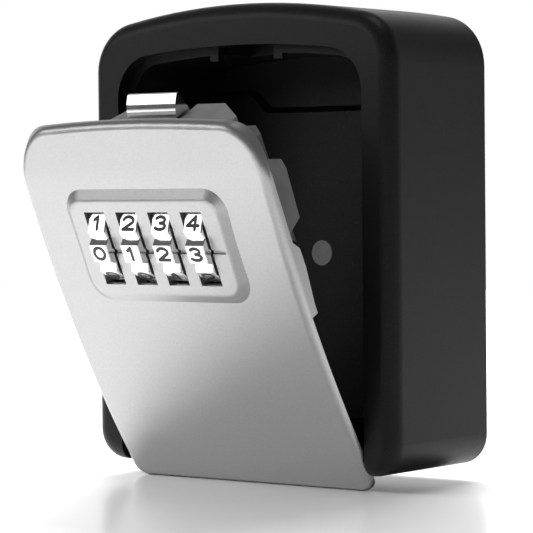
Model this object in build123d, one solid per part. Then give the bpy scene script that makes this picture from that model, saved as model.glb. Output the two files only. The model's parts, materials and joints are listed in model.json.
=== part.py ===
"""Wall key lock box: die-cast housing, hinged door with four combination dials, sprung latch.

X runs to the right, Y runs into the wall, Z is up, in millimetres. The parts are laid out with the
door closed and z = 0 at the bottom of the housing. The door group is then swung open about its hinge,
and everything is lowered so that the origin is the centre of the wall screw pattern, on the back face.
"""
from build123d import *
import math
import os

# Housing
BODY_WIDTH = 96.0
BODY_HEIGHT = 117.5
BODY_DEPTH = 41.4
BODY_ARCH_RADIUS = 204.0
BODY_TOP_CORNER = 13.0
BODY_BOTTOM_CORNER = 8.0
BODY_FRONT_FILLET = 4.0
BODY_BACK_FILLET = 0.4
FRONT_Y = -BODY_DEPTH
LEDGE_Y = -36.9
BACK_WALL = 5.0
RECESS_DEPTH = 1.5
DOORWAY_HALF_WIDTH = 39.0
DOORWAY_CROWN = 107.0
DOORWAY_ARCH_RADIUS = 260.0
DOORWAY_CORNER = 11.0
CAVITY_HALF_WIDTH = 37.0
CAVITY_CROWN = 105.0
CAVITY_CORNER = 9.0
CAVITY_FLOOR_CORNER = 3.0
FLOOR_TOP = 14.0
FLOOR_BOTTOM = 11.8
BOTTOM_WALL = 2.5
BOTTOM_WALL_FRONT_Y = -27.4
HINGE_POCKET_BACK_Y = -19.5
WALL_HOLE_RADIUS = 2.5
WALL_HOLE_X = 25.0
WALL_HOLE_Z = 30.0
PATTERN_Z = 53.5
CENTRE_HOLE_RADIUS = 3.4

# Hinge
HINGE_Y = -23.5
HINGE_Z = 8.5
OPEN_ANGLE = 28.0
PIN_RADIUS = 1.5
PIN_CLEARANCE = 0.05
PIN_PRESS = 0.02
PIN_INNER_X = 27.0
PIN_OUTER_X = 43.0
KNUCKLE_RADIUS = 3.0
KNUCKLE_X = (31.0, 37.0)
LUG_OUTER_X = 30.6
LUG_RADIUS = 2.7
ARM_FRONT_Y = -40.4

# Door cover
DOOR_HALF_WIDTH = 38.6
DOOR_BOTTOM = 2.7
DOOR_CROWN = 105.6
DOOR_ARCH_RADIUS = 420.0
DOOR_TOP_CORNER = 9.0
DOOR_FACE_CORNER = 22.0
DOOR_BOTTOM_CORNER = 4.5
DOOR_WALL = 1.8
DOOR_EDGE_FILLET = 2.0
DOOR_RIM = 2.4
HOLLOW_TOP_CORNER = 14.0
HOLLOW_BOTTOM_CORNER = 2.1
FACE_RADIUS = 388.0
FACE_FRONT_Y = -43.97
FACE_MIDDLE_Z = 53.6
CREASE_Z = 92.5
CREASE_RADIUS = 30.0
CREST_Y = -39.5
DOOR_REAR_Y = -36.0
DOOR_FRONT_Y = -46.0
SKIRT_LOW_Z = 54.0
SKIRT_TOP_Z = 103.0
SKIRT_TOP_Y = -37.2
SKIRT_SHOULDER_Y = -39.7
SKIRT_SIDE_Y = -40.4
SKIRT_BULGE_Y = -38.6
SKIRT_BULGE_Z = (66.0, 71.0)
SKIRT_BULGE_RAMP = 2.5
SKIRT_LOW_Y = -39.8

# Raised panel and dial windows
PANEL_HALF_WIDTH = 25.2
PANEL_HEIGHT = 29.7
PANEL_CENTRE_X = -0.8
PANEL_CENTRE_Z = 73.95
PANEL_CORNER = 6.0
PANEL_RAISE = 1.35
PANEL_BEVEL = 2.2
DIAL_COUNT = 4
DIAL_PITCH = 10.17
DIAL_GROUP_X = -1.1
WINDOW_WIDTH = 6.45
WINDOW_HEIGHT = 19.8
MARK_HEIGHT = 1.2
MARK_DEPTH = 0.5
MARK_LENGTH = 2.6
END_MARK_LENGTH = 4.0

# Dials, their tumblers and the spindle
DIAL_Y = -34.9
DIAL_Z = 73.25
DIAL_FACES = 10
DIAL_APOTHEM = 12.3
DIAL_FACE_LENGTH = 4.6
DIAL_NOTCH_RADIUS = 11.2
DIAL_WIDTH = 5.6
DIAL_SWEEP_RADIUS = 12.9
SLEEVE_RADIUS = 4.5
TUMBLER_RADIUS = 6.0
TUMBLER_THICKNESS = 2.0
GATE_WIDTH = 3.4
GATE_DEPTH = 1.8
SPINDLE_RADIUS = 2.0
SPINDLE_CLEARANCE = 0.05
SPINDLE_X = (-27.6, 26.6)
SPINDLE_GROOVE_X = (-27.1, -26.4)
CLIP_X = (-26.3, -25.4)
CLIP_RADIUS = 3.9
SEPARATOR_GAP = 0.4

# Mechanism housing on the back of the door
FLANGE_Y = (-38.0, -36.0)
FLANGE_WIDTH = 66.0
FLANGE_HEIGHT = 50.0
FLANGE_CENTRE_Z = 75.0
FLANGE_CORNER = 6.0
LOWER_BLOCK_Z = (58.5, 93.9)
BLOCK_X = (-25.4, 25.2)
BLOCK_CHAMFER = 4.5
UPPER_BLOCK_TOP = 102.0
BLOCK_WALL = 1.6
BLOCK_BACK_Y = -19.0
COVER_THICKNESS = 1.3
COVER_OPENING_X = 14.0
COVER_OPENING_Z = (67.0, 86.0)
SIDE_BLOCK_X = 34.9
BUTTON_BOSS_X = (22.0, 31.0)
BUTTON_BOSS_Y = (-40.6, -31.0)
BUTTON_BOSS_Z = (61.4, 73.6)
FLANGE_SCREW_X = 28.5
FLANGE_SCREW_Z = (53.5, 96.5)
FLANGE_SCREW_RADIUS = 1.4
FLANGE_SCREW_LENGTH = 4.0
BOSS_RADIUS = 3.2
BOSS_HOLE_DEPTH = 2.2
COVER_SCREW_RADIUS = 0.8
COVER_SCREW_X = 16.2
COVER_SCREW_Z = (65.0, 88.0)
DETENT_SCREW_X = 17.2
DETENT_SCREW_Z = 61.4
DETENT_SCREW_RADIUS = 0.7
STRIP_THICKNESS = 0.4

# Latch
LATCH_HALF_WIDTH = 7.7
LATCH_FRONT_Y = -30.7
LATCH_BACK_Y = -25.2
LATCH_TOP = 107.5
LATCH_UP = 1.6
FENCE_THICKNESS = 1.3
FENCE_LEG_Z = 89.1
FENCE_FINGER_END_Z = 83.0
FENCE_FINGER_WIDTH = 1.5
SPRING_SEAT_Z = 79.6
SPRING_PAD_X = ((-23.9, -20.3), (19.3, 23.7))
SPRING_PAD_Y = (-30.2, -25.8)
SPRING_X = (-21.8, 20.8)
RIVET_X = 4.5
RIVET_Y = -28.0
RIVET_RADIUS = 1.0
WIRE_RADIUS = 0.3

# Reset button
BUTTON_Y = -36.6
BUTTON_Z = 67.1
BUTTON_RADIUS = 4.4
BUTTON_DOME = 3.4
BUTTON_END_X = 35.8
BUTTON_INNER_X = 28.9
STEM_END_X = 21.3
STOP_COLLAR_X = 21.9
STEM_RADIUS = 1.5
COLLAR_RADIUS = 2.4
SPRING_START_X = 24.4

# The number faces lie parallel to the panel, which leans with the door's curved face.
PANEL_TILT = math.asin((PANEL_CENTRE_Z - FACE_MIDDLE_Z) / FACE_RADIUS)
dial_positions = [DIAL_GROUP_X + DIAL_PITCH * (n - (DIAL_COUNT - 1) / 2) for n in range(DIAL_COUNT)]


def block(x_range, y_range, z_range):
    """Box between three pairs of limits."""
    sizes = [high - low for low, high in (x_range, y_range, z_range)]
    middle = [(high + low) / 2 for low, high in (x_range, y_range, z_range)]
    return Pos(*middle) * Box(*sizes)


def mirrored(side, x_range):
    """Range of X on the right (side 1) or its mirror image on the left (side -1)."""
    return sorted(side * x for x in x_range)


def x_rod(x_from, x_to, y, z, radius):
    """Round bar along X."""
    bar = Cylinder(radius, abs(x_to - x_from), rotation=(0, 90, 0))
    return Pos((x_from + x_to) / 2, y, z) * bar


def y_rod(y_from, y_to, x, z, radius):
    """Round bar along Y."""
    bar = Cylinder(radius, abs(y_to - y_from), rotation=(90, 0, 0))
    return Pos(x, (y_from + y_to) / 2, z) * bar


def z_rod(z_from, z_to, x, y, radius):
    """Round bar along Z."""
    return Pos(x, y, (z_from + z_to) / 2) * Cylinder(radius, abs(z_to - z_from))


def extrude_forward(outline, y_back, y_front):
    """Prism of an X-Z outline from y_back towards the front."""
    return extrude(Plane.XZ.offset(-y_back) * outline, y_back - y_front)


def extrude_across(profile, x_from, x_to):
    """Prism of a Y-Z profile from x_from to x_to."""
    return extrude(Plane.YZ.offset(x_from) * profile, x_to - x_from)


def extrude_up(plan, z_from, z_to):
    """Prism of an X-Y plan from z_from to z_to."""
    return extrude(Plane.XY.offset(z_from) * plan, z_to - z_from)


def polygon(points):
    """Face bounded by straight lines through the points."""
    return make_face(Polyline(*points, close=True))


def arched_outline(half_width, bottom, crown, arch_radius, top_corner, bottom_corner=0):
    """Upright outline with straight sides, a shallow arched top and rounded corners."""
    shoulder = crown - arch_radius + math.sqrt(arch_radius**2 - half_width**2)
    sides = Polyline(
        (-half_width, shoulder), (-half_width, bottom), (half_width, bottom), (half_width, shoulder))
    arch = ThreePointArc((half_width, shoulder), (0, crown), (-half_width, shoulder))
    outline = make_face(sides + arch)
    outline = fillet(outline.vertices().sort_by(Axis.Y)[-2:], top_corner)
    if bottom_corner:
        outline = fillet(outline.vertices().sort_by(Axis.Y)[:2], bottom_corner)
    return outline


# ---------------------------------------------------------------- housing
def recess_cut():
    """Deeper upper part of the back wall, with its stepped lower edge."""
    side_z = 95.5
    centre_z = 90.7
    outer_x = 23.0
    inner_x = 18.2
    step_radius = 3.2
    wide_x = CAVITY_HALF_WIDTH + 4
    top_z = CAVITY_CROWN + 4
    edge = polygon([
        (-wide_x, side_z), (-outer_x, side_z), (-inner_x, centre_z), (inner_x, centre_z),
        (outer_x, side_z), (wide_x, side_z), (wide_x, top_z), (-wide_x, top_z),
    ])
    steps = [v for v in edge.vertices() if abs(v.X) < outer_x + 1 and v.Y < top_z - 1]
    edge = fillet(steps, step_radius)
    deep = extrude(Plane.XZ.offset(BACK_WALL) * edge, -RECESS_DEPTH, taper=45)
    inside = arched_outline(CAVITY_HALF_WIDTH, FLOOR_TOP, CAVITY_CROWN, DOORWAY_ARCH_RADIUS, CAVITY_CORNER)
    return deep & extrude_forward(inside, 0, -BACK_WALL - 1)


def coring_cuts():
    """Pockets from the back that keep the casting walls thin: in the sides, the top and the bottom."""
    side_x = (39.5, 45.5)
    side_y = (-34.0, 1.0)
    top_x = (12.0, 32.0)
    top_y = (-33.0, 1.0)
    top_z = (107.3, 112.0)
    bottom_x = (12.5, 36.0)
    bottom_middle_x = (-10.5, 10.5)
    bottom_y = (-17.5, 1.0)
    bottom_z = (3.0, 11.5)
    cuts = [block(bottom_middle_x, bottom_y, bottom_z)]
    for side in (-1, 1):
        for side_z in ((18.0, 56.0), (59.0, 98.0)):
            cuts.append(block(mirrored(side, side_x), side_y, side_z))
        cuts.append(block(mirrored(side, top_x), top_y, top_z))
        cuts.append(block(mirrored(side, bottom_x), bottom_y, bottom_z))
    return cuts


def back_face_cuts():
    """Shallow pockets in the back face, leaving ribs and a boss round each hole."""
    depth = 2.2
    rib = 3.0
    half_width = 35.5
    low_z = 17.0
    high_z = 99.0
    hole_boss_radius = 6.0
    centre_boss_radius = 7.0
    cuts = []
    for side in (-1, 1):
        for up, z_range in ((-1, (low_z, PATTERN_Z - rib)), (1, (PATTERN_Z + rib, high_z))):
            cut = block(mirrored(side, (rib, half_width)), (-depth, 1), z_range)
            hole_z = PATTERN_Z + up * WALL_HOLE_Z
            cut -= y_rod(2, -depth - 1, side * WALL_HOLE_X, hole_z, hole_boss_radius)
            cuts.append(cut - y_rod(2, -depth - 1, 0, PATTERN_Z, centre_boss_radius))
    return cuts


def hinge_lugs():
    """Two ears under the floor that carry the inner ends of the hinge pins."""
    lugs = []
    for side in (-1, 1):
        x_inner, x_outer = mirrored(side, (PIN_INNER_X - 0.4, LUG_OUTER_X))
        lug_y = (HINGE_Y - LUG_RADIUS, HINGE_Y + LUG_RADIUS)
        ear = block((x_inner, x_outer), lug_y, (HINGE_Z, FLOOR_BOTTOM + 1))
        lugs.append(ear + x_rod(x_inner, x_outer, HINGE_Y, HINGE_Z, LUG_RADIUS))
    return lugs


def cut_latch_gap(body):
    """Gap in the ledge for the latch, two guide lugs beside it and the pocket that the latch rises into."""
    gap_half_width = 11.4
    gap_depth = 2.6
    gap_z = (100, 106.8)
    lug_x = (8.9, 11.6)
    lug_depth = 2.2
    lug_z = (103.3, 107.2)
    pocket_back_y = -24.0
    pocket_z = 107.0
    side_clearance = 0.7
    top_clearance = 0.6
    body -= block((-gap_half_width, gap_half_width), (LEDGE_Y - 1, LEDGE_Y + gap_depth), gap_z)
    for side in (-1, 1):
        body += block(mirrored(side, lug_x), (LEDGE_Y, LEDGE_Y + lug_depth), lug_z)
    latch_path = (-LATCH_HALF_WIDTH - side_clearance, LATCH_HALF_WIDTH + side_clearance)
    body -= block(latch_path, (LEDGE_Y - 1, pocket_back_y), (gap_z[0], pocket_z + 1))
    pocket_top = LATCH_TOP + LATCH_UP + top_clearance
    return body - block(latch_path, (LATCH_FRONT_Y - 0.5, pocket_back_y), (pocket_z, pocket_top))


def make_housing():
    """Die-cast housing, open at the front and through the bottom rim."""
    outer = arched_outline(
        BODY_WIDTH / 2, 0, BODY_HEIGHT, BODY_ARCH_RADIUS, BODY_TOP_CORNER, BODY_BOTTOM_CORNER)
    body = extrude_forward(outer, 0, FRONT_Y)
    body = fillet(body.faces().sort_by(Axis.Y)[0].edges(), BODY_FRONT_FILLET)
    body = fillet(body.faces().sort_by(Axis.Y)[-1].edges(), BODY_BACK_FILLET)

    doorway = arched_outline(DOORWAY_HALF_WIDTH, -9, DOORWAY_CROWN, DOORWAY_ARCH_RADIUS, DOORWAY_CORNER)
    body -= extrude_forward(doorway, LEDGE_Y, FRONT_Y - 1)
    inside = arched_outline(
        CAVITY_HALF_WIDTH, FLOOR_TOP, CAVITY_CROWN, DOORWAY_ARCH_RADIUS, CAVITY_CORNER, CAVITY_FLOOR_CORNER)
    body -= extrude_forward(inside, -BACK_WALL, LEDGE_Y - 1)
    body -= recess_cut()

    hinge_span = (-DOORWAY_HALF_WIDTH, DOORWAY_HALF_WIDTH)
    body -= block(hinge_span, (LEDGE_Y - 1, HINGE_POCKET_BACK_Y), (BOTTOM_WALL, FLOOR_BOTTOM))
    body -= block(hinge_span, (LEDGE_Y - 1, BOTTOM_WALL_FRONT_Y), (-1, FLOOR_BOTTOM))
    for lug in hinge_lugs():
        body += lug
    for side in (-1, 1):
        bore = PIN_RADIUS - PIN_PRESS
        body -= x_rod(side * (PIN_INNER_X - 1), side * PIN_OUTER_X, HINGE_Y, HINGE_Z, bore)

    body = cut_latch_gap(body)
    for cut in coring_cuts() + back_face_cuts():
        body -= cut
    for x in (-WALL_HOLE_X, WALL_HOLE_X):
        for z in (PATTERN_Z - WALL_HOLE_Z, PATTERN_Z + WALL_HOLE_Z):
            body -= y_rod(1, -BACK_WALL - 1, x, z, WALL_HOLE_RADIUS)
    body -= y_rod(1, -BACK_WALL - 1, 0, PATTERN_Z, CENTRE_HOLE_RADIUS)
    return body


def make_hinge_pins():
    """Two short pins pressed into the housing."""
    return [x_rod(side * PIN_INNER_X, side * PIN_OUTER_X, HINGE_Y, HINGE_Z, PIN_RADIUS) for side in (-1, 1)]


def make_centre_hole_plug():
    """Flat round plug in the spare centre hole of the back wall."""
    back_y = -0.8
    front_y = -BACK_WALL - 0.3
    plug = y_rod(back_y, front_y, 0, PATTERN_Z, CENTRE_HOLE_RADIUS)
    return chamfer(plug.faces().sort_by(Axis.Y)[0].edges(), 0.2)


# ---------------------------------------------------------------- door cover
def face_y(z, raise_by=0):
    """Y of the door's curved face, or of a surface raised in front of it, at height z."""
    radius = FACE_RADIUS + raise_by
    return FACE_FRONT_Y + FACE_RADIUS - math.sqrt(radius**2 - (z - FACE_MIDDLE_Z)**2)


def side_profile(raise_by, back_points):
    """Y-Z region between the door's face, moved by raise_by, and a line of points behind it."""
    low_z = DOOR_BOTTOM - 3
    top_z = DOOR_CROWN + 3
    lean = (CREST_Y - face_y(CREASE_Z)) / (DOOR_CROWN - CREASE_Z)
    arc = ThreePointArc(
        (face_y(low_z, raise_by), low_z),
        (face_y(FACE_MIDDLE_Z, raise_by), FACE_MIDDLE_Z),
        (face_y(CREASE_Z, raise_by), CREASE_Z))
    top_y = face_y(CREASE_Z, raise_by) + lean * (top_z - CREASE_Z)
    rest = Polyline((face_y(CREASE_Z, raise_by), CREASE_Z), (top_y, top_z), *back_points, arc @ 0)
    region = make_face(arc + rest)
    crease = [v for v in region.vertices() if abs(v.Y - CREASE_Z) < 0.01 and v.X < -35]
    return fillet(crease, CREASE_RADIUS)


def door_shell():
    """Curved door plate, with a skirt behind the rim of its upper half that bulges at the reset button."""
    low_z = DOOR_BOTTOM - 3
    top_z = DOOR_CROWN + 3
    reach = DOOR_HALF_WIDTH + 2
    rear, front = [
        arched_outline(
            DOOR_HALF_WIDTH, DOOR_BOTTOM, DOOR_CROWN, DOOR_ARCH_RADIUS, corner, DOOR_BOTTOM_CORNER)
        for corner in (DOOR_TOP_CORNER, DOOR_FACE_CORNER)]
    blank = loft([Plane.XZ.offset(-DOOR_REAR_Y) * rear, Plane.XZ.offset(-DOOR_FRONT_Y) * front], ruled=True)
    back_line = [(DOOR_REAR_Y, top_z), (DOOR_REAR_Y, low_z)]
    shell = blank & extrude_across(side_profile(0, back_line), -reach, reach)
    front = [f for f in shell.faces() if f.normal_at(f.center()).Y < -0.9]
    creases = [e for f in front for e in f.edges() if e.length > 60 and 80 < e.center().Z < 100]
    rim = [e for f in front for e in f.edges() if not any(e.is_same(c) for c in creases)]
    shell = fillet(rim, DOOR_EDGE_FILLET)
    behind_plate = extrude_across(side_profile(-DOOR_WALL, back_line), -reach, reach)
    hollow_outline = arched_outline(
        DOOR_HALF_WIDTH - DOOR_RIM, DOOR_BOTTOM + DOOR_RIM, DOOR_CROWN - DOOR_RIM, DOOR_ARCH_RADIUS,
        HOLLOW_TOP_CORNER, HOLLOW_BOTTOM_CORNER)
    shell -= extrude_forward(hollow_outline, DOOR_REAR_Y, DOOR_FRONT_Y) & behind_plate
    shell -= behind_plate & block((-reach, reach), (DOOR_FRONT_Y, DOOR_REAR_Y), (low_z, SKIRT_LOW_Z))
    behind_skirt = polygon([
        (SKIRT_TOP_Y, top_z), (SKIRT_TOP_Y, SKIRT_TOP_Z), (SKIRT_SHOULDER_Y, CREASE_Z),
        (SKIRT_SIDE_Y, SKIRT_BULGE_Z[1] + SKIRT_BULGE_RAMP), (SKIRT_BULGE_Y, SKIRT_BULGE_Z[1]),
        (SKIRT_BULGE_Y, SKIRT_BULGE_Z[0]), (SKIRT_LOW_Y, SKIRT_LOW_Z + SKIRT_BULGE_RAMP),
        (SKIRT_LOW_Y, SKIRT_LOW_Z), (DOOR_REAR_Y, SKIRT_LOW_Z), (DOOR_REAR_Y, top_z),
    ])
    return shell - extrude_across(behind_skirt, -reach, reach)


def raised_panel():
    """Bevelled panel around the dial windows, square to the face at its own middle."""
    origin = (PANEL_CENTRE_X, face_y(PANEL_CENTRE_Z), PANEL_CENTRE_Z)
    plane = Plane(origin=origin, x_dir=(1, 0, 0), z_dir=(0, -math.cos(PANEL_TILT), math.sin(PANEL_TILT)))
    sunk = 0.6
    shoulder_radius = 2.0
    spread = sunk * PANEL_BEVEL / PANEL_RAISE
    foot = RectangleRounded(
        2 * (PANEL_HALF_WIDTH + spread), PANEL_HEIGHT + 2 * spread, PANEL_CORNER + spread)
    top = RectangleRounded(
        2 * (PANEL_HALF_WIDTH - PANEL_BEVEL), PANEL_HEIGHT - 2 * PANEL_BEVEL, PANEL_CORNER - PANEL_BEVEL)
    panel = loft([plane.offset(-sunk) * foot, plane.offset(PANEL_RAISE) * top], ruled=True)
    plateau = panel.faces().sort_by(Axis.Y)[0]
    return fillet(plateau.edges(), shoulder_radius)


def hinge_arm(side):
    """Arm from the foot of the door back to its hinge knuckle."""
    x_range = sorted((side * KNUCKLE_X[0], side * KNUCKLE_X[1]))
    arm = block(x_range, (ARM_FRONT_Y, HINGE_Y), (HINGE_Z - KNUCKLE_RADIUS, HINGE_Z + KNUCKLE_RADIUS))
    return arm + x_rod(*x_range, HINGE_Y, HINGE_Z, KNUCKLE_RADIUS)


def make_door_cover():
    """Die-cast door: shell, raised panel, dial windows, screw bosses and hinge arms."""
    cover = door_shell() + raised_panel()
    window_z = (PANEL_CENTRE_Z - WINDOW_HEIGHT / 2, PANEL_CENTRE_Z + WINDOW_HEIGHT / 2)
    for x in dial_positions:
        window = (x - WINDOW_WIDTH / 2, x + WINDOW_WIDTH / 2)
        cover -= block(window, (-50, -37), window_z)
        cover -= x_rod(*window, DIAL_Y, DIAL_Z, DIAL_SWEEP_RADIUS)
        mark_length = END_MARK_LENGTH if x == dial_positions[-1] else MARK_LENGTH
        mark_y = face_y(DIAL_Z, PANEL_RAISE)
        mark_x = (window[1] - 0.2, window[1] + mark_length)
        mark_z = (DIAL_Z - MARK_HEIGHT / 2, DIAL_Z + MARK_HEIGHT / 2)
        cover -= block(mark_x, (mark_y - 2, mark_y + MARK_DEPTH), mark_z)
    for x in (-FLANGE_SCREW_X, FLANGE_SCREW_X):
        for z in FLANGE_SCREW_Z:
            cover += y_rod(FLANGE_Y[0], face_y(z) + DOOR_WALL / 2, x, z, BOSS_RADIUS)
            cover -= y_rod(FLANGE_Y[0] + 1, FLANGE_Y[0] - BOSS_HOLE_DEPTH, x, z, FLANGE_SCREW_RADIUS)
    for side in (-1, 1):
        cover += hinge_arm(side)
        x_inner, x_outer = side * (KNUCKLE_X[0] - 1), side * (KNUCKLE_X[1] + 1)
        cover -= x_rod(x_inner, x_outer, HINGE_Y, HINGE_Z, PIN_RADIUS + PIN_CLEARANCE)
    return cover


# ---------------------------------------------------------------- mechanism housing
def mechanism_blank():
    """Carrier before hollowing: screw flange, lower and upper blocks, side block and button boss."""
    z_low, z_high = LOWER_BLOCK_Z
    back = BLOCK_BACK_Y
    left, right = BLOCK_X
    flange_outline = Pos(0, FLANGE_CENTRE_Z) * RectangleRounded(FLANGE_WIDTH, FLANGE_HEIGHT, FLANGE_CORNER)
    flange = extrude_forward(flange_outline, FLANGE_Y[1], FLANGE_Y[0])
    lower_plan = polygon([
        (left, FLANGE_Y[0]), (left, back - BLOCK_CHAMFER), (left + BLOCK_CHAMFER, back),
        (right - BLOCK_CHAMFER, back), (right, back - BLOCK_CHAMFER), (right, FLANGE_Y[0]),
    ])
    upper_front = FLANGE_Y[0] + 0.6
    upper_plan = polygon([
        (-14.9, upper_front), (-14.4, -30.8), (-11.5, -22.8), (17.0, -22.8), (25.6, -30.2),
        (25.6, upper_front),
    ])
    side_outline = polygon([
        (FLANGE_Y[0], 92.8), (-34.6, 92.8), (-30.5, 90.6), (-29.8, 87.8), (-30.8, 75.1), (-36.0, 73.4),
        (FLANGE_Y[0], 73.4),
    ])
    side_block = extrude_across(side_outline, right - 5, SIDE_BLOCK_X)
    side_block = chamfer(side_block.faces().sort_by(Axis.X)[-1].edges().filter_by(Axis.Z), 1.0)
    blank = flange + extrude_up(lower_plan, z_low, z_high)
    blank += extrude_up(upper_plan, z_high - 1, UPPER_BLOCK_TOP)
    return blank + side_block + block(BUTTON_BOSS_X, BUTTON_BOSS_Y, BUTTON_BOSS_Z)


def dial_chamber():
    """Space for the dials, open at the front and ending beside the button boss."""
    z_low, z_high = LOWER_BLOCK_Z
    back = BLOCK_BACK_Y - BLOCK_WALL
    front = DOOR_FRONT_Y
    left, right = BLOCK_X[0] + BLOCK_WALL, BLOCK_X[1] - BLOCK_WALL
    corner = BLOCK_CHAMFER - 0.9
    plan = polygon([
        (left, front), (left, back - corner), (left + corner, back),
        (right - corner, back), (right, back - corner), (right, front),
    ])
    chamber = extrude_up(plan, z_low + BLOCK_WALL, z_high - BLOCK_WALL)
    boss_top = BUTTON_BOSS_Z[1] - 0.8
    return chamber - block((BUTTON_BOSS_X[0], 30), (front, BUTTON_BOSS_Y[1]), (BUTTON_BOSS_Z[0], boss_top))


def latch_guide_cuts():
    """Slot that guides the latch, the opening under it and a small pocket to its left."""
    z_high = LOWER_BLOCK_Z[1]
    front = LATCH_FRONT_Y - 0.4
    slot_x = (-LATCH_HALF_WIDTH - 0.6, LATCH_HALF_WIDTH + 0.7)
    pocket_x = (-13.2, -9.6)
    pocket_y = (-36.4, -31.5)
    return [
        block(slot_x, (front, -20), (z_high, UPPER_BLOCK_TOP + 1)),
        block(slot_x, (front, LATCH_BACK_Y + 0.4), (z_high - BLOCK_WALL - 1, z_high + 1)),
        block(pocket_x, pocket_y, (z_high - 2, UPPER_BLOCK_TOP - BLOCK_WALL)),
    ]


def make_mechanism_housing():
    """Cast carrier on the back of the door: screw flange, dial chamber, latch guide and side block."""
    back = BLOCK_BACK_Y
    inset_back = back - BLOCK_WALL
    solid = mechanism_blank() - dial_chamber()
    solid -= block((-COVER_OPENING_X, COVER_OPENING_X), (inset_back - 1, back + 1), COVER_OPENING_Z)
    for cut in latch_guide_cuts():
        solid -= cut

    solid -= x_rod(CLIP_X[0] + 0.3, SPINDLE_X[1] + 0.4, DIAL_Y, DIAL_Z, SPINDLE_RADIUS)
    clip_room = CLIP_RADIUS + 0.7
    clip_z = (DIAL_Z - clip_room, DIAL_Z + clip_room)
    solid -= block((SPINDLE_X[0] - 0.8, CLIP_X[1]), (FLANGE_Y[0] - 1, FLANGE_Y[1] + 0.2), clip_z)
    solid -= x_rod(SPRING_START_X, SIDE_BLOCK_X + 1, BUTTON_Y, BUTTON_Z, BUTTON_RADIUS + 0.1)
    solid -= x_rod(STEM_END_X - 0.3, SPRING_START_X + 0.6, BUTTON_Y, BUTTON_Z, STEM_RADIUS + 0.08)
    for x in (-FLANGE_SCREW_X, FLANGE_SCREW_X):
        for z in FLANGE_SCREW_Z:
            solid -= y_rod(FLANGE_Y[0] - 1, FLANGE_Y[1] + 1, x, z, FLANGE_SCREW_RADIUS)
    for x in (-COVER_SCREW_X, COVER_SCREW_X):
        for z in COVER_SCREW_Z:
            solid -= y_rod(inset_back - 1, back + 1, x, z, COVER_SCREW_RADIUS)
    for x in (-DETENT_SCREW_X, DETENT_SCREW_X):
        solid -= y_rod(inset_back - 1, back - 0.3, x, DETENT_SCREW_Z, DETENT_SCREW_RADIUS)
    for pad_x in SPRING_PAD_X:
        solid += block(pad_x, SPRING_PAD_Y, (SPRING_SEAT_Z - 2.1, SPRING_SEAT_Z))
    return solid


def make_mechanism_cover():
    """Rear plate of the dial chamber."""
    width = 35.0
    height = 28.0
    corner = 2.5
    centre_z = (COVER_OPENING_Z[0] + COVER_OPENING_Z[1]) / 2
    outline = Pos(0, centre_z) * RectangleRounded(width, height, corner)
    plate = extrude_forward(outline, BLOCK_BACK_Y + COVER_THICKNESS, BLOCK_BACK_Y)
    for x in (-COVER_SCREW_X, COVER_SCREW_X):
        for z in COVER_SCREW_Z:
            plate -= y_rod(BLOCK_BACK_Y - 1, BLOCK_BACK_Y + COVER_THICKNESS + 1, x, z, COVER_SCREW_RADIUS)
    return chamfer(plate.faces().sort_by(Axis.Y)[-1].outer_wire().edges(), 0.4)


def pan_screw(x, z, seat_y, length, head_radius, head_height, shank_radius):
    """Cross-recess screw whose head faces the wall; the shank runs towards the front."""
    head = y_rod(seat_y + head_height, seat_y, x, z, head_radius)
    head = fillet(head.faces().sort_by(Axis.Y)[-1].edges(), head_height * 0.55)
    screw = head + y_rod(seat_y, seat_y - length, x, z, shank_radius)
    reach = head_radius * 0.62
    half_slot = head_radius * 0.12
    y_slot = (seat_y + head_height * 0.55, seat_y + head_height + 1)
    screw -= block((x - reach, x + reach), y_slot, (z - half_slot, z + half_slot))
    return screw - block((x - half_slot, x + half_slot), y_slot, (z - reach, z + reach))


def make_flange_screws():
    """Four screws that hold the mechanism housing to the door."""
    head_radius = 2.7
    head_height = 1.7
    return [pan_screw(x, z, FLANGE_Y[1], FLANGE_SCREW_LENGTH, head_radius, head_height, FLANGE_SCREW_RADIUS)
            for x in (-FLANGE_SCREW_X, FLANGE_SCREW_X) for z in FLANGE_SCREW_Z]


def make_cover_screws():
    """Four small screws through the rear plate."""
    seat = BLOCK_BACK_Y + COVER_THICKNESS
    length = 2.8
    head_radius = 1.6
    head_height = 0.9
    return [pan_screw(x, z, seat, length, head_radius, head_height, COVER_SCREW_RADIUS)
            for x in (-COVER_SCREW_X, COVER_SCREW_X) for z in COVER_SCREW_Z]


def make_detent_screws():
    """Two small screws that hold the detent spring, with their heads inside the chamber."""
    head_radius = 1.0
    head_height = 0.8
    seat = BLOCK_BACK_Y - BLOCK_WALL - STRIP_THICKNESS
    screws = []
    for x in (-DETENT_SCREW_X, DETENT_SCREW_X):
        head = y_rod(seat, seat - head_height, x, DETENT_SCREW_Z, head_radius)
        screws.append(head + y_rod(seat, BLOCK_BACK_Y - 0.3, x, DETENT_SCREW_Z, DETENT_SCREW_RADIUS))
    return screws


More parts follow.
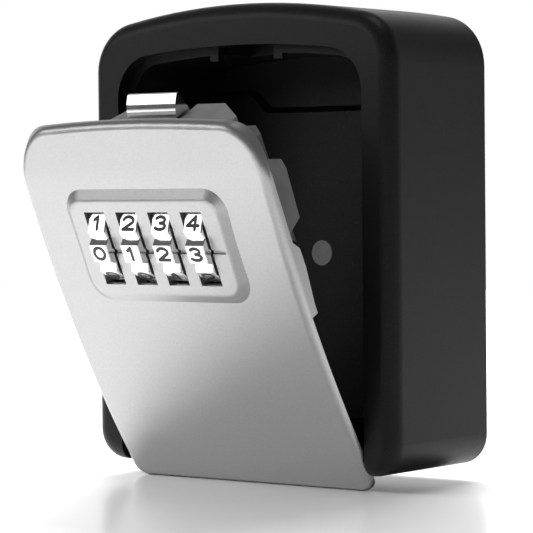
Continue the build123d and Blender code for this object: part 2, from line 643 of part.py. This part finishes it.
# ---------------------------------------------------------------- dials
def make_dial(x):
    """Number ring with ten flat faces and finger notches between them."""
    edge_chamfer = 0.25
    dish_radius = 9.6
    dish_depth = 0.5
    left_hub_radius = 6.2
    step = 360 / DIAL_FACES
    half = math.degrees(math.atan2(DIAL_FACE_LENGTH / 2, DIAL_APOTHEM))
    corner = math.hypot(DIAL_APOTHEM, DIAL_FACE_LENGTH / 2)
    points = []
    for n in range(DIAL_FACES):
        for angle, radius in ((-half, corner), (half, corner), (step / 2, DIAL_NOTCH_RADIUS)):
            turn = math.radians(180 + n * step + angle) - PANEL_TILT
            points.append((DIAL_Y + radius * math.cos(turn), DIAL_Z + radius * math.sin(turn)))
    ring = extrude_across(polygon(points), x - DIAL_WIDTH / 2, x + DIAL_WIDTH / 2)
    ends = [ring.faces().sort_by(Axis.X)[0], ring.faces().sort_by(Axis.X)[-1]]
    ring = chamfer([e for f in ends for e in f.edges()], edge_chamfer)
    ring -= x_rod(x - DIAL_WIDTH, x + DIAL_WIDTH, DIAL_Y, DIAL_Z, SLEEVE_RADIUS)
    for side in (-1, 1):
        face_x = x + side * DIAL_WIDTH / 2
        hub_radius = left_hub_radius if side < 0 else TUMBLER_RADIUS
        dish = x_rod(face_x + side, face_x - side * dish_depth, DIAL_Y, DIAL_Z, dish_radius)
        ring -= dish - x_rod(face_x - 2, face_x + 2, DIAL_Y, DIAL_Z, hub_radius)
    return ring


def make_tumbler(x):
    """Sleeve through the dial with a gated disc beside it."""
    disc_from = x + DIAL_WIDTH / 2
    tumbler = x_rod(x - DIAL_WIDTH / 2, disc_from, DIAL_Y, DIAL_Z, SLEEVE_RADIUS)
    tumbler += x_rod(disc_from, disc_from + TUMBLER_THICKNESS, DIAL_Y, DIAL_Z, TUMBLER_RADIUS)
    gate_z = (DIAL_Z + TUMBLER_RADIUS - GATE_DEPTH, DIAL_Z + TUMBLER_RADIUS + 1)
    gate_x = (disc_from, disc_from + TUMBLER_THICKNESS + 0.1)
    tumbler -= block(gate_x, (DIAL_Y - GATE_WIDTH / 2, DIAL_Y + GATE_WIDTH / 2), gate_z)
    bore = SPINDLE_RADIUS + SPINDLE_CLEARANCE
    return tumbler - x_rod(x - DIAL_PITCH, x + DIAL_PITCH, DIAL_Y, DIAL_Z, bore)


def make_dial_spindle():
    """Fixed axle of the four dials, with a flat groove near its free end."""
    groove_y = (DIAL_Y - SPINDLE_RADIUS - 1, DIAL_Y + SPINDLE_RADIUS + 1)
    groove_z = (DIAL_Z - SPINDLE_RADIUS - 1, DIAL_Z - SPINDLE_RADIUS + 0.35)
    return x_rod(*SPINDLE_X, DIAL_Y, DIAL_Z, SPINDLE_RADIUS) - block(SPINDLE_GROOVE_X, groove_y, groove_z)


def make_spindle_clip():
    """Retaining clip on the free end of the spindle."""
    half_gap = 1.5
    around = (CLIP_X[0] - 1, CLIP_X[1] + 1)
    ring = x_rod(*CLIP_X, DIAL_Y, DIAL_Z, CLIP_RADIUS) - x_rod(*around, DIAL_Y, DIAL_Z, SPINDLE_RADIUS)
    gap_z = (DIAL_Z - CLIP_RADIUS - 1, DIAL_Z)
    return ring - block(around, (DIAL_Y - half_gap, DIAL_Y + half_gap), gap_z)


def make_dial_separators():
    """Plates between the dials, joined by a foot bar on the chamber floor."""
    disc_radius = 9.5
    plate_y = (-40.7, -21.5)
    bar_y = (-24.0, plate_y[1])
    bar_height = 1.5
    web_top = 68.0
    floor = LOWER_BLOCK_Z[0] + BLOCK_WALL
    first_plate_x = dial_positions[0] + DIAL_WIDTH / 2 + TUMBLER_THICKNESS + SEPARATOR_GAP
    bar_x = (first_plate_x, dial_positions[-1] - DIAL_WIDTH / 2 - SEPARATOR_GAP)
    separators = block(bar_x, bar_y, (floor, floor + bar_height))
    for x in dial_positions[:-1]:
        start = x + DIAL_WIDTH / 2 + TUMBLER_THICKNESS + SEPARATOR_GAP
        end = x + DIAL_PITCH - DIAL_WIDTH / 2 - SEPARATOR_GAP
        disc = x_rod(start, end, DIAL_Y, DIAL_Z, disc_radius)
        plate = disc + block((start, end), plate_y, (floor, web_top))
        plate &= block((start, end), plate_y, (floor, DIAL_Z + disc_radius))
        separators += plate - x_rod(start - 1, end + 1, DIAL_Y, DIAL_Z, SPINDLE_RADIUS)
    return separators


def make_detent_spring():
    """Spring strip with one finger behind each dial."""
    half_length = 19.2
    finger_half_width = 1.6
    finger_tip_y = -22.4
    finger_tip_z = 68.4
    back = BLOCK_BACK_Y - BLOCK_WALL
    front = back - STRIP_THICKNESS
    floor = LOWER_BLOCK_Z[0] + BLOCK_WALL
    strip_z = (floor + 0.2, floor + 2.8)
    bend_z = strip_z[1] - 0.15
    strip = block((-half_length, half_length), (front, back), strip_z)
    finger = polygon([
        (front, bend_z), (back, bend_z), (finger_tip_y, finger_tip_z),
        (finger_tip_y - STRIP_THICKNESS, finger_tip_z),
    ])
    for x in dial_positions:
        strip += extrude_across(finger, x - finger_half_width, x + finger_half_width)
    for x in (-DETENT_SCREW_X, DETENT_SCREW_X):
        strip -= y_rod(back - 1, back + 1, x, DETENT_SCREW_Z, DETENT_SCREW_RADIUS)
    return strip


# ---------------------------------------------------------------- latch and reset button
def make_latch_bolt():
    """Latch head with a rounded ramp at the front, and its tail."""
    front, rear, top = LATCH_FRONT_Y, LATCH_BACK_Y, LATCH_TOP
    tail_bottom = FENCE_LEG_Z + FENCE_THICKNESS
    ramp_start = (front, 100.6)
    ramp_end = (-27.9, top)
    crest_end = (-26.8, top - 0.4)
    ramp = ThreePointArc(ramp_start, (-29.9, 104.9), ramp_end)
    crest = ThreePointArc(ramp_end, (-27.3, top), crest_end)
    rest = Polyline(crest_end, (rear, 101.4), (rear, tail_bottom), (front, tail_bottom), ramp_start)
    return extrude_across(make_face(ramp + crest + rest), -LATCH_HALF_WIDTH, LATCH_HALF_WIDTH)


def make_fence_plate():
    """Bent plate under the latch with one finger above each tumbler."""
    plate_x = (-23.2, 22.8)
    plate_y = (-36.2, LATCH_BACK_Y - 0.1)
    finger_y = (DIAL_Y - 1.0, DIAL_Y + 1.0)
    top_z = FENCE_LEG_Z + FENCE_THICKNESS
    plate = block(plate_x, plate_y, (FENCE_LEG_Z, top_z))
    for x in dial_positions:
        middle = x + DIAL_WIDTH / 2 + TUMBLER_THICKNESS / 2 + 0.05
        finger = (middle - FENCE_FINGER_WIDTH / 2, middle + FENCE_FINGER_WIDTH / 2)
        plate += block(finger, finger_y, (FENCE_FINGER_END_Z, FENCE_LEG_Z + 0.1))
    for x in (-RIVET_X, RIVET_X):
        plate -= z_rod(FENCE_LEG_Z - 1, top_z + 1, x, RIVET_Y, RIVET_RADIUS)
    return plate


def make_latch_rivets():
    """Two rivets that join the fence plate to the latch."""
    head_height = 0.6
    head_radius = 1.6
    rivets = []
    for x in (-RIVET_X, RIVET_X):
        shank = z_rod(FENCE_LEG_Z, FENCE_LEG_Z + FENCE_THICKNESS, x, RIVET_Y, RIVET_RADIUS)
        rivets.append(shank + z_rod(FENCE_LEG_Z - head_height, FENCE_LEG_Z, x, RIVET_Y, head_radius))
    return rivets


def coil(turns, length, coil_radius, wire_radius):
    """Round-wire compression spring standing on Z = 0, with its wire inside the length."""
    pitch = (length - 2 * wire_radius) / turns
    path = Pos(0, 0, wire_radius) * Helix(pitch, pitch * turns, coil_radius)
    start = Plane(origin=path @ 0, z_dir=path % 0)
    return sweep(start * Circle(wire_radius), path=path, is_frenet=True)


def make_latch_springs():
    """Two coil springs under the ends of the fence plate."""
    turns = 7
    coil_radius = 1.2
    spring = coil(turns, FENCE_LEG_Z - SPRING_SEAT_Z, coil_radius, WIRE_RADIUS)
    return [Pos(x, RIVET_Y, SPRING_SEAT_Z) * spring for x in SPRING_X]


def make_reset_spring():
    """Coil spring behind the reset button."""
    turns = 4
    coil_radius = 3.0
    spring = coil(turns, BUTTON_INNER_X - SPRING_START_X, coil_radius, WIRE_RADIUS)
    return Pos(SPRING_START_X, BUTTON_Y, BUTTON_Z) * (Rot(0, 90, 0) * spring)


def make_reset_button():
    """Domed push button on the side of the mechanism, with its stem and stop collar."""
    head = x_rod(BUTTON_INNER_X, BUTTON_END_X, BUTTON_Y, BUTTON_Z, BUTTON_RADIUS)
    head = fillet(head.faces().sort_by(Axis.X)[-1].edges(), BUTTON_DOME)
    stem = x_rod(STEM_END_X, BUTTON_INNER_X + 0.1, BUTTON_Y, BUTTON_Z, STEM_RADIUS)
    return head + stem + x_rod(STEM_END_X, STOP_COLLAR_X, BUTTON_Y, BUTTON_Z, COLLAR_RADIUS)


# ---------------------------------------------------------------- assembly
def swing_open(shape):
    """Turn a door part from the closed to the open position."""
    return shape.rotate(Axis((0, HINGE_Y, HINGE_Z), (1, 0, 0)), OPEN_ANGLE)


def write_node(node, shapes, swings):
    """Put one node's solids in their final place and write them to its file."""
    solids = shapes if isinstance(shapes, list) else [shapes]
    if swings:
        solids = [swing_open(solid) for solid in solids]
    placed = [Pos(0, 0, -PATTERN_Z) * solid for solid in solids]
    whole = placed[0] if len(placed) == 1 else Compound(children=placed)
    export_step(whole, f"parts/{node}.step")


def build_parts():
    """Every part in the closed layout, split into fixed parts and parts that swing with the door."""
    fixed = {
        "housing": make_housing(),
        "hinge_pins": make_hinge_pins(),
        "centre_hole_plug": make_centre_hole_plug(),
    }
    swinging = {
        "door_cover": make_door_cover(),
        "mechanism_housing": make_mechanism_housing(),
        "mechanism_cover": make_mechanism_cover(),
        "flange_screws": make_flange_screws(),
        "cover_screws": make_cover_screws(),
        "dial_spindle": make_dial_spindle(),
        "spindle_clip": make_spindle_clip(),
        "dial_separators": make_dial_separators(),
        "detent_spring": make_detent_spring(),
        "detent_screws": make_detent_screws(),
        "latch_bolt": make_latch_bolt(),
        "fence_plate": make_fence_plate(),
        "latch_rivets": make_latch_rivets(),
        "latch_springs": make_latch_springs(),
        "reset_button": make_reset_button(),
        "reset_spring": make_reset_spring(),
    }
    for n, x in enumerate(dial_positions, 1):
        swinging[f"dial_{n}"] = make_dial(x)
        swinging[f"tumbler_{n}"] = make_tumbler(x)
    return fixed, swinging


fixed_parts, swinging_parts = build_parts()
os.makedirs("parts", exist_ok=True)
for node_name, node_shapes in fixed_parts.items():
    write_node(node_name, node_shapes, swings=False)
for node_name, node_shapes in swinging_parts.items():
    write_node(node_name, node_shapes, swings=True)
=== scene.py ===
import json
import math

import bpy
from mathutils import Matrix, Vector

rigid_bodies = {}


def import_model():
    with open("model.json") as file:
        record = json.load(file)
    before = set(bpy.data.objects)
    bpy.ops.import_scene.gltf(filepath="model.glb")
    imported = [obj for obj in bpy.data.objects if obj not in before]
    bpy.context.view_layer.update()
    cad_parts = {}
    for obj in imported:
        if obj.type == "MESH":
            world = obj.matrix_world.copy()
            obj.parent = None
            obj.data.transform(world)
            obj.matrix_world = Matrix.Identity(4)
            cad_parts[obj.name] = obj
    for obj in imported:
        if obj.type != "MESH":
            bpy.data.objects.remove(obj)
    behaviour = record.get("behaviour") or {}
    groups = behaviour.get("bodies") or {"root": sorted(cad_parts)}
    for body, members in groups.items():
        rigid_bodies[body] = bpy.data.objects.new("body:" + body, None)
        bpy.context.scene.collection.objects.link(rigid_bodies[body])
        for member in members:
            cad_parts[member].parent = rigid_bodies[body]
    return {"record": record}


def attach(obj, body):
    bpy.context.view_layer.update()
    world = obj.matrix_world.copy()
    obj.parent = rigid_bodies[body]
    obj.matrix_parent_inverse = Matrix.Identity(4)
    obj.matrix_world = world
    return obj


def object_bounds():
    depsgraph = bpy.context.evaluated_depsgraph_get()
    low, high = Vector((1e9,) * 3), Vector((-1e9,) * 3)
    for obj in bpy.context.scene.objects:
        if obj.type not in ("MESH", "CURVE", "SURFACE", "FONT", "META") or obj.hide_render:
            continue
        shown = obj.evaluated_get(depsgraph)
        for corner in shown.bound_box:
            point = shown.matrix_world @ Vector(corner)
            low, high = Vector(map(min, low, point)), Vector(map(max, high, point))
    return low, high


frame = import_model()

cad_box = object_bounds()

# ---------------------------------------------------------------- sizes, in metres
MM = 0.001
DIAL_COUNT = 4
DIAL_FACES = 10
DIAL_APOTHEM = 12.3 * MM
DIAL_TILT = math.radians(3.0)
DIGIT_WIDTH = 3.5 * MM
DIGIT_HEIGHT = 3.1 * MM
DIGIT_STROKE = 0.88 * MM
DIGIT_THICKNESS = 0.05 * MM
DIGIT_LIFT = 0.015 * MM
SHARP_CORNER = math.radians(40)
ARC_STEPS = 14
ROUND_END_STEPS = (0.35, 0.65, 0.85, 0.97)

FLOOR_HALF_WIDTH = 1.0
FLOOR_ROUGHNESS = 0.22

# The backdrop stands behind the object as the camera sees it. Its edge runs from dim to bright
# between two cosines of the angle from its middle.
BACKDROP_WAY = Vector((-0.612, 0.791, 0.0))
BACKDROP_EDGE = (0.6, 0.92)
BACKDROP_LIGHT = 1.0
ROOM_LIGHT = 0.11

CAMERA_TARGET = Vector((-7.1, -20.0, -3.13)) * MM
CAMERA_DISTANCE = 684.8 * MM
CAMERA_AZIMUTH = math.radians(37.712)
CAMERA_ELEVATION = math.radians(1.790)
CAMERA_ROLL = math.radians(-0.553)
CAMERA_LENS = 177.5
CAMERA_SENSOR = 36.0


# ---------------------------------------------------------------- materials
# Most values of a noise texture lie in this range.
NOISE_LOW = 0.3
NOISE_HIGH = 0.7


def set_map_range(node, from_min, from_max, to_min, to_max):
    """Limits of a Map Range node."""
    node.inputs["From Min"].default_value = from_min
    node.inputs["From Max"].default_value = from_max
    node.inputs["To Min"].default_value = to_min
    node.inputs["To Max"].default_value = to_max


class Nodes:
    """Short way to build one node material."""

    def __init__(self, name):
        self.material = bpy.data.materials.new(name)
        self.material.use_nodes = True
        self.tree = self.material.node_tree
        self.tree.nodes.clear()
        output = self.tree.nodes.new("ShaderNodeOutputMaterial")
        self.shader = self.tree.nodes.new("ShaderNodeBsdfPrincipled")
        self.link(self.shader.outputs["BSDF"], output.inputs["Surface"])
        self.coords = self.tree.nodes.new("ShaderNodeTexCoord").outputs["Object"]
        self.relief = None

    def link(self, source, target):
        """Join one socket to another."""
        self.tree.links.new(source, target)

    def set(self, **values):
        """Constant values of the shader, with _ for a space in the name."""
        for name, value in values.items():
            self.shader.inputs[name.replace("_", " ")].default_value = value

    def stretched(self, scale):
        """Object coordinates multiplied by a scale on each axis."""
        mapping = self.tree.nodes.new("ShaderNodeMapping")
        mapping.inputs["Scale"].default_value = scale
        self.link(self.coords, mapping.inputs["Vector"])
        return mapping.outputs["Vector"]

    def noise(self, size, detail=3.0, scale=(1, 1, 1)):
        """Noise whose features are about size metres across."""
        node = self.tree.nodes.new("ShaderNodeTexNoise")
        node.inputs["Scale"].default_value = 1 / size
        node.inputs["Detail"].default_value = detail
        self.link(self.stretched(scale), node.inputs["Vector"])
        return node.outputs["Fac"]

    def colour(self, source, low, high, start=NOISE_LOW, end=NOISE_HIGH):
        """Base colour from low to high as the source goes from start to end."""
        node = self.tree.nodes.new("ShaderNodeValToRGB")
        for element, position, colour in zip(node.color_ramp.elements, (start, end), (low, high)):
            element.position = position
            element.color = (*colour, 1)
        self.link(source, node.inputs["Fac"])
        self.link(node.outputs["Color"], self.shader.inputs["Base Color"])

    def roughness(self, source, low, high):
        """Roughness from low to high over the noise range."""
        node = self.tree.nodes.new("ShaderNodeMapRange")
        set_map_range(node, NOISE_LOW, NOISE_HIGH, low, high)
        self.link(source, node.inputs["Value"])
        self.link(node.outputs["Result"], self.shader.inputs["Roughness"])

    def bump(self, source, depth):
        """Relief of about depth metres, on top of any relief already there."""
        node = self.tree.nodes.new("ShaderNodeBump")
        node.inputs["Strength"].default_value = 1.0
        node.inputs["Distance"].default_value = depth
        self.link(source, node.inputs["Height"])
        if self.relief:
            self.link(self.relief, node.inputs["Normal"])
        self.relief = node.outputs["Normal"]
        self.link(self.relief, self.shader.inputs["Normal"])


def grey(value, warmth=0.0):
    """Neutral colour, or one a little warmer than neutral."""
    return (value * (1 + warmth), value, value * (1 - warmth))


def powder_coat():
    """Black powder coat with a fine grain and scattered paler specks."""
    m = Nodes("black_powder_coat")
    m.set(Specular_IOR_Level=0.22)
    m.colour(m.noise(0.30 * MM, 1), grey(0.0060), grey(0.020), 0.55, 0.78)
    m.roughness(m.noise(30 * MM), 0.38, 0.42)
    m.bump(m.noise(0.45 * MM, 2), 0.030 * MM)
    m.bump(m.noise(3.0 * MM), 0.020 * MM)
    return m.material


def satin_silver():
    """Satin silver paint with a fine metallic flake."""
    m = Nodes("satin_silver")
    m.set(Metallic=0.85)
    m.colour(m.noise(0.25 * MM, 2), grey(0.38), grey(0.45))
    m.roughness(m.noise(30 * MM), 0.315, 0.335)
    m.bump(m.noise(0.35 * MM, 2), 0.006 * MM)
    return m.material


def cast_grey(name, low, high):
    """Die-cast metal, grey and slightly uneven."""
    m = Nodes(name)
    m.set(Metallic=0.45)
    m.colour(m.noise(5 * MM, 5), grey(low), grey(high))
    m.roughness(m.noise(2.5 * MM), 0.42, 0.58)
    m.bump(m.noise(0.5 * MM, 3), 0.014 * MM)
    return m.material


def plated(name, base, low_rough, high_rough):
    """Bright plating with faint haze and fine wear."""
    m = Nodes(name)
    m.set(Metallic=1.0)
    m.colour(m.noise(6 * MM, 4), grey(base * 0.93), grey(base))
    m.roughness(m.noise(3 * MM, 4), low_rough, high_rough)
    m.bump(m.noise(1.2 * MM, 2), 0.002 * MM)
    return m.material


def drawn_steel():
    """Zinc-plated steel with drawing marks along X."""
    m = Nodes("zinc_steel")
    m.set(Metallic=1.0)
    marks = m.noise(0.5 * MM, 3, scale=(0.06, 1, 1))
    m.colour(m.noise(4 * MM, 4), grey(0.46, 0.02), grey(0.60))
    m.roughness(marks, 0.24, 0.40)
    m.bump(marks, 0.004 * MM)
    return m.material


def moulded_plastic(name, low, high):
    """Moulded plastic with a faint spark-eroded texture."""
    m = Nodes(name)
    m.colour(m.noise(3 * MM), grey(low), grey(high))
    m.roughness(m.noise(1.5 * MM), 0.45, 0.58)
    m.bump(m.noise(0.3 * MM, 2), 0.008 * MM)
    return m.material


def ink():
    """Black enamel of the dial numbers."""
    m = Nodes("dial_ink")
    m.colour(m.noise(0.8 * MM), grey(0.004), grey(0.009))
    m.roughness(m.noise(0.6 * MM), 0.34, 0.46)
    return m.material


FINISHES = {
    "black_finish": powder_coat(),
    "silver_finish": satin_silver(),
    "silver_polish": plated("polished_alloy", 0.80, 0.10, 0.17),
    "grey_casting": cast_grey("cast_grey", 0.11, 0.16),
    "dial_chrome": plated("dial_chrome", 0.93, 0.10, 0.17),
    "latch_chrome": plated("latch_chrome", 0.88, 0.07, 0.13),
    "steel": drawn_steel(),
    "black_plastic": moulded_plastic("black_plastic", 0.010, 0.018),
    "grey_plastic": moulded_plastic("grey_plastic", 0.13, 0.17),
}


def finish_cad_parts():
    """Give every CAD node the material of its slot."""
    for part in frame["record"]["subparts"]:
        material = FINISHES[part["material_slot"]]
        for slot in bpy.data.objects[part["node"]].material_slots:
            slot.material = material


# ---------------------------------------------------------------- dial numbers
def arc(cx, cy, rx, ry, start, end, steps=ARC_STEPS):
    """Points of an elliptical arc, angles in degrees."""
    turns = [math.radians(start + (end - start) * n / steps) for n in range(steps + 1)]
    return [(cx + rx * math.cos(t), cy + ry * math.sin(t)) for t in turns]


def ring(cx, cy, rx, ry):
    """Closed ellipse."""
    return arc(cx, cy, rx, ry, 0, 360, 2 * ARC_STEPS)


# Centre lines of the numbers, in units of their width and height.
SIX = [ring(0, -0.19, 0.44, 0.31), arc(0.30, -0.19, 0.74, 0.69, 180, 98)]
DIGITS = {
    0: [ring(0, 0, 0.46, 0.5)],
    1: [[(-0.24, 0.26), (0.06, 0.5), (0.06, -0.5)]],
    2: [arc(0, 0.2, 0.44, 0.3, 165, -35) + [(-0.45, -0.5), (0.48, -0.5)]],
    3: [arc(-0.02, 0.25, 0.40, 0.25, 150, -90), arc(-0.02, -0.25, 0.46, 0.25, 90, -150)],
    4: [[(0.2, -0.5), (0.2, 0.5), (-0.48, -0.2), (0.5, -0.2)]],
    5: [[(0.42, 0.5), (-0.34, 0.5), (-0.40, 0.02)] + arc(0, -0.18, 0.45, 0.32, 140, -145)],
    6: SIX,
    7: [[(-0.46, 0.5), (0.46, 0.5), (-0.12, -0.5)]],
    8: [ring(0, 0.26, 0.37, 0.24), ring(0, -0.25, 0.45, 0.25)],
    9: [[(-x, -y) for x, y in stroke] for stroke in SIX],
}


def split_at_corners(path):
    """Runs of a line between its sharp corners."""
    runs = [[path[0]]]
    for before, here, after in zip(path, path[1:], path[2:]):
        runs[-1].append(here)
        if (here - before).angle(after - here) > SHARP_CORNER:
            runs.append([here])
    runs[-1].append(path[-1])
    return runs


def add_stroke(curve, path):
    """Painted line along the path, with round ends where it is open."""
    closed = (path[0] - path[-1]).length < DIGIT_STROKE / 100
    if closed:
        path.pop()
    radii = [1.0] * len(path)
    if not closed:
        reach = DIGIT_STROKE / 2
        first_way = (path[0] - path[1]).normalized() * reach
        last_way = (path[-1] - path[-2]).normalized() * reach
        first, last = path[0], path[-1]
        for share in ROUND_END_STEPS:
            radius = math.sqrt(1 - share**2)
            path = [first + first_way * share] + path + [last + last_way * share]
            radii = [radius] + radii + [radius]
    spline = curve.splines.new("POLY")
    spline.points.add(len(path) - 1)
    spline.use_cyclic_u = closed
    for point, place, radius in zip(spline.points, path, radii):
        point.co = (*place, 1)
        point.radius = radius


def digit_mesh(digit):
    """Thin mesh of one number, lying in its own X-Y plane."""
    curve = bpy.data.curves.new(f"digit_curve_{digit}", "CURVE")
    curve.dimensions = "3D"
    curve.bevel_depth = DIGIT_STROKE / 2
    curve.bevel_resolution = 2
    curve.use_fill_caps = True
    for points in DIGITS[digit]:
        line = [Vector((x * DIGIT_WIDTH, y * DIGIT_HEIGHT, 0)) for x, y in points]
        for path in split_at_corners(line):
            add_stroke(curve, path)
    holder = bpy.data.objects.new("digit_holder", curve)
    bpy.context.scene.collection.objects.link(holder)
    bpy.context.view_layer.update()
    mesh = bpy.data.meshes.new_from_object(holder.evaluated_get(bpy.context.evaluated_depsgraph_get()))
    bpy.data.objects.remove(holder)
    bpy.data.curves.remove(curve)
    for vertex in mesh.vertices:
        vertex.co.z *= DIGIT_THICKNESS / DIGIT_STROKE
    return mesh


def make_dial_numbers(joints, ink_material):
    """One mesh of ten painted numbers on each dial, riding on the dial."""
    latch_way = Vector(joints["latch_slide"]["axis"])
    open_turn = Matrix.Rotation(math.atan2(-latch_way.y, latch_way.z), 3, "X")
    shapes = {digit: digit_mesh(digit) for digit in range(DIAL_FACES)}
    for dial in range(1, DIAL_COUNT + 1):
        axis = Vector(joints[f"dial_{dial}_spin"]["pos_m"])
        vertices, faces = [], []
        for facet in range(DIAL_FACES):
            angle = 2 * math.pi * facet / DIAL_FACES + DIAL_TILT
            normal = Vector((0, -math.cos(angle), math.sin(angle)))
            right = Vector((1, 0, 0))
            turn = open_turn @ Matrix((right, normal.cross(right), normal)).transposed()
            centre = axis + open_turn @ normal * (DIAL_APOTHEM + DIGIT_LIFT)
            shape = shapes[(dial - 1 + facet) % DIAL_FACES]
            faces += [[v + len(vertices) for v in face.vertices] for face in shape.polygons]
            vertices += [centre + turn @ v.co for v in shape.vertices]
        mesh = bpy.data.meshes.new(f"dial_{dial}_numbers")
        mesh.from_pydata(vertices, [], faces)
        mesh.shade_smooth()
        mesh.materials.append(ink_material)
        numbers = bpy.data.objects.new(f"dial_{dial}_numbers", mesh)
        bpy.context.scene.collection.objects.link(numbers)
        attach(numbers, f"dial_body_{dial}")
    for shape in shapes.values():
        bpy.data.meshes.remove(shape)


# ---------------------------------------------------------------- floor, light and camera
def make_floor():
    """Plain pale floor under the lowest point."""
    half = FLOOR_HALF_WIDTH
    low = cad_box[0][2]
    mesh = bpy.data.meshes.new("floor")
    corners = [(-half, -half, low), (half, -half, low), (half, half, low), (-half, half, low)]
    mesh.from_pydata(corners, [], [(0, 1, 2, 3)])
    m = Nodes("pale_floor")
    m.set(Roughness=FLOOR_ROUGHNESS)
    m.colour(m.noise(0.4), grey(0.80), grey(0.83))
    mesh.materials.append(m.material)
    floor = bpy.data.objects.new("floor", mesh)
    bpy.context.scene.collection.objects.link(floor)


def softbox(name, place, target, size, power, mirrored=True):
    """Rectangular area light aimed at a point. Shiny surfaces mirror it unless told not to."""
    light = bpy.data.lights.new(name, "AREA")
    light.shape = "RECTANGLE"
    light.size, light.size_y = size
    light.energy = power
    lamp = bpy.data.objects.new(name, light)
    lamp.location = place
    lamp.rotation_euler = (Vector(target) - Vector(place)).to_track_quat("-Z", "Y").to_euler()
    lamp.visible_glossy = mirrored
    bpy.context.scene.collection.objects.link(lamp)


def make_world():
    """Studio surround: a bright backdrop behind the object, falling away to a dim room in front."""
    world = bpy.data.worlds.new("studio")
    bpy.context.scene.world = world
    world.use_nodes = True
    tree = world.node_tree
    background = tree.nodes["Background"]
    coords = tree.nodes.new("ShaderNodeTexCoord")
    toward = tree.nodes.new("ShaderNodeVectorMath")
    toward.operation = "DOT_PRODUCT"
    toward.inputs[1].default_value = BACKDROP_WAY
    fall = tree.nodes.new("ShaderNodeMapRange")
    fall.interpolation_type = "SMOOTHSTEP"
    set_map_range(fall, *BACKDROP_EDGE, ROOM_LIGHT, BACKDROP_LIGHT)
    tree.links.new(coords.outputs["Generated"], toward.inputs[0])
    tree.links.new(toward.outputs["Value"], fall.inputs["Value"])
    tree.links.new(fall.outputs["Result"], background.inputs["Strength"])
    background.inputs["Color"].default_value = (1, 1, 1, 1)


def make_light():
    """Softboxes on the front left and above, two that aren't mirrored, and a strip on the right."""
    softbox("softbox_front", (-0.43, -0.58, 0.27), (0, -0.05, 0), (0.40, 0.30), 0.85)
    softbox("softbox_top", (0.10, -0.05, 0.75), (0, -0.05, 0), (0.35, 0.25), 0.7)
    softbox("softbox_floor", (-0.35, -0.50, 0.50), (-0.05, -0.15, -0.065), (0.30, 0.30), 4.2, False)
    softbox("softbox_behind", (-0.45, 0.75, 0.70), (-0.45, 0.75, 0), (1.00, 1.00), 50.0, False)
    softbox("strip_right", (0.55, 0.50, 0.25), (0.03, 0, 0), (0.04, 0.60), 0.35)
    bpy.context.scene.view_settings.view_transform = "Standard"


def make_camera():
    """Camera at the viewing angle, with its small roll."""
    level = math.cos(CAMERA_ELEVATION)
    back = Vector((
        math.sin(CAMERA_AZIMUTH) * level, -math.cos(CAMERA_AZIMUTH) * level, math.sin(CAMERA_ELEVATION)))
    level_right = Vector((0, 0, 1)).cross(back).normalized()
    level_up = back.cross(level_right)
    right = level_right * math.cos(CAMERA_ROLL) + level_up * math.sin(CAMERA_ROLL)
    up = level_up * math.cos(CAMERA_ROLL) - level_right * math.sin(CAMERA_ROLL)
    data = bpy.data.cameras.new("camera")
    data.lens = CAMERA_LENS
    data.sensor_width = CAMERA_SENSOR
    camera = bpy.data.objects.new("camera", data)
    turn = Matrix((right, up, back)).transposed()
    camera.matrix_world = Matrix.Translation(CAMERA_TARGET + back * CAMERA_DISTANCE) @ turn.to_4x4()
    bpy.context.scene.collection.objects.link(camera)
    bpy.context.scene.camera = camera


joint_table = {joint["name"]: joint for joint in frame["record"]["behaviour"]["joints"]}
finish_cad_parts()
make_dial_numbers(joint_table, ink())
make_floor()
make_world()
make_light()
make_camera()
